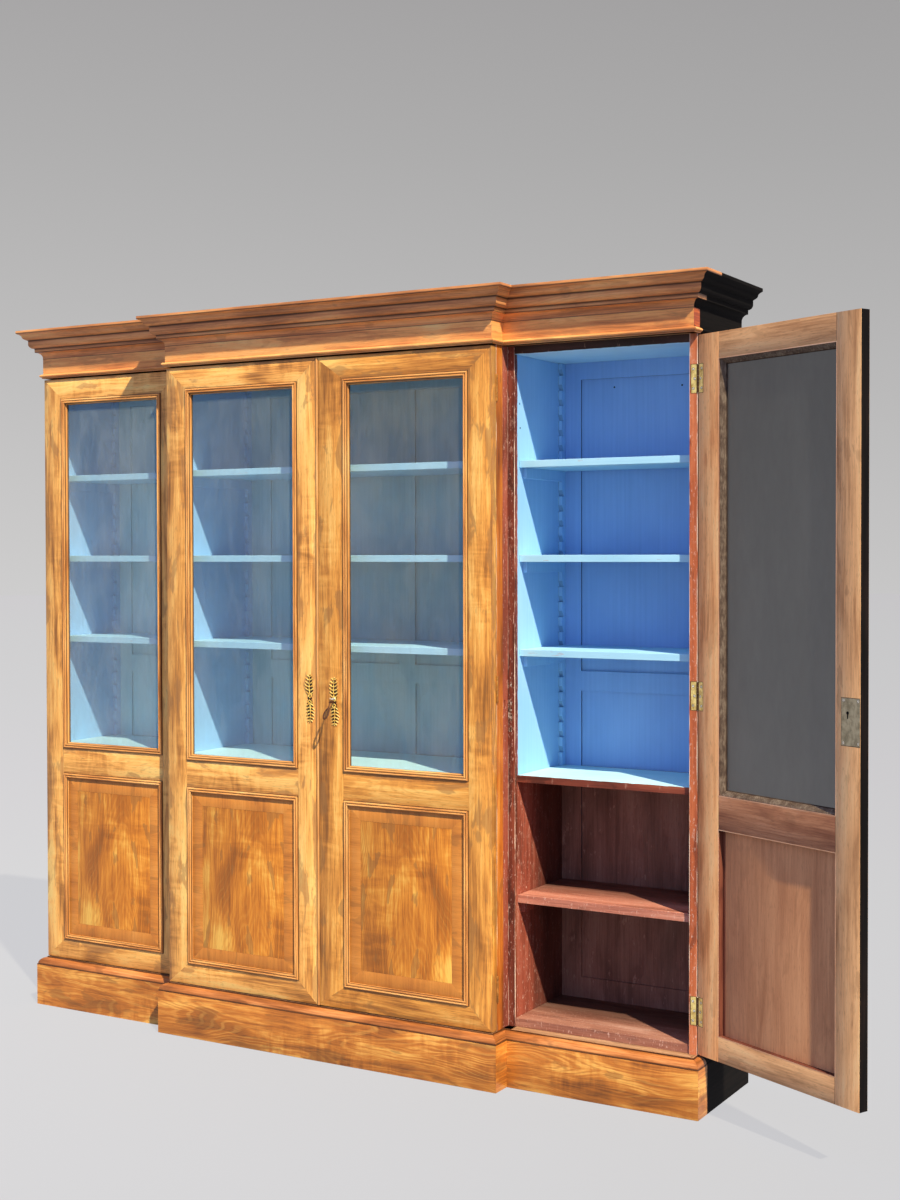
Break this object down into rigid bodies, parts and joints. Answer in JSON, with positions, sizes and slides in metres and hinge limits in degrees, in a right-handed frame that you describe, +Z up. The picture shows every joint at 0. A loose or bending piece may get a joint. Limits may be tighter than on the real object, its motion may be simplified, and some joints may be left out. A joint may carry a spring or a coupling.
{
  "type": "four-door bookcase",
  "caption": "Breakfront bookcase with glazed and panelled doors, one of them open, over a moulded plinth and under a moulded cornice, with shelves on toothed strips.",
  "frame": {"origin": "on the floor, under the middle of the width over the cases, in the plane of the wing doors' closed front faces", "axes": "+X to the right as one faces the doors, +Y to the wall behind, +Z up"},
  "size_m": [2.9198, 0.5733, 2.25],
  "materials": {
    "mahogany": "polished",
    "flame_veneer": "polished",
    "case_wood": "worn",
    "blue_paint": "matt paint",
    "brass": "satin",
    "lock_brass": "tarnished",
    "iron": "browned",
    "glass": "clear"
  },
  "bodies": {
    "carcase": {"left_top": "blue_paint", "left_fixed_shelf": "blue_paint", "left_back": "blue_paint", "left_shelf_1": "blue_paint", "left_shelf_2": "blue_paint", "left_shelf_3": "blue_paint", "left_floor": "case_wood", "left_low_shelf": "case_wood", "centre_top": "blue_paint", "centre_fixed_shelf": "blue_paint", "centre_back": "blue_paint", "centre_shelf_1": "blue_paint", "centre_shelf_2": "blue_paint", "centre_shelf_3": "blue_paint", "centre_floor": "case_wood", "centre_low_shelf": "case_wood", "right_top": "blue_paint", "right_fixed_shelf": "blue_paint", "right_back": "blue_paint", "right_shelf_1": "blue_paint", "right_shelf_2": "blue_paint", "right_shelf_3": "blue_paint", "right_floor": "case_wood", "right_low_shelf": "case_wood", "left_side": "case_wood", "left_inner_side": "case_wood", "centre_left_side": "case_wood", "centre_right_side": "case_wood", "right_inner_side": "case_wood", "right_side": "case_wood", "plinth_frame": "mahogany", "plinth_moulding": "mahogany", "cornice_frame": "mahogany", "crown_moulding": "mahogany", "low_hinge_case_leaf": "brass", "middle_hinge_case_leaf": "brass", "high_hinge_case_leaf": "brass"},
    "left_door": {"left_door_frame": "mahogany", "left_door_pane": "glass", "left_door_panel": "flame_veneer"},
    "centre_left_door": {"centre_left_door_frame": "mahogany", "centre_left_door_pane": "glass", "centre_left_door_panel": "flame_veneer", "centre_left_escutcheon": "brass"},
    "centre_right_door": {"centre_right_door_frame": "mahogany", "centre_right_door_pane": "glass", "centre_right_door_panel": "flame_veneer", "centre_right_escutcheon": "brass", "centre_lock": "lock_brass"},
    "right_door": {"right_door_frame": "mahogany", "right_door_pane": "glass", "right_door_panel": "flame_veneer", "right_door_lock": "lock_brass", "low_hinge_door_leaf": "brass", "middle_hinge_door_leaf": "brass", "high_hinge_door_leaf": "brass"},
    "wing_lock_bolt": {"right_door_bolt": "brass"},
    "centre_lock_bolt": {"centre_bolt": "brass"},
    "key": {"key": "iron"},
    "key_bow": {"key_bow": "iron"}
  },
  "joints": [
    {"name": "left_door_hinge", "type": "hinge", "parent": "carcase", "child": "left_door", "pos_m": [-1.1625, 0.0293, 1.125], "axis": [0, 0, -1], "range_deg": [0, 170]},
    {"name": "centre_left_door_hinge", "type": "hinge", "parent": "carcase", "child": "centre_left_door", "pos_m": [-0.5845, -0.0347, 1.125], "axis": [0, 0, -1], "range_deg": [0, 170]},
    {"name": "centre_right_door_hinge", "type": "hinge", "parent": "carcase", "child": "centre_right_door", "pos_m": [0.5845, -0.0347, 1.125], "axis": [0, 0, 1], "range_deg": [0, 170]},
    {"name": "right_door_hinge", "type": "hinge", "parent": "carcase", "child": "right_door", "pos_m": [1.1625, 0.0293, 1.125], "axis": [0, 0, 1], "range_deg": [-154, 18]},
    {"name": "wing_lock_bolt_slide", "type": "slide", "parent": "right_door", "child": "wing_lock_bolt", "axis": [0.8988, -0.4384, 0], "range_m": [0, 0.01]},
    {"name": "centre_lock_bolt_slide", "type": "slide", "parent": "centre_right_door", "child": "centre_lock_bolt", "axis": [-1, 0, 0], "range_m": [0, 0.01]},
    {"name": "key_turn", "type": "hinge", "parent": "centre_right_door", "child": "key", "pos_m": [0.0505, -0.064, 1.07], "axis": [0, 1, 0], "range_deg": [0, 180]},
    {"name": "key_bow_fold", "type": "hinge", "parent": "key", "child": "key_bow", "pos_m": [0.0505, -0.085, 1.07], "axis": [1, 0, 0], "range_deg": [-50, 35]}
  ],
  "couplings": [
    {"joint": "centre_lock_bolt_slide", "follows": "key_turn", "m_per_rad": 0.00318}
  ]
}
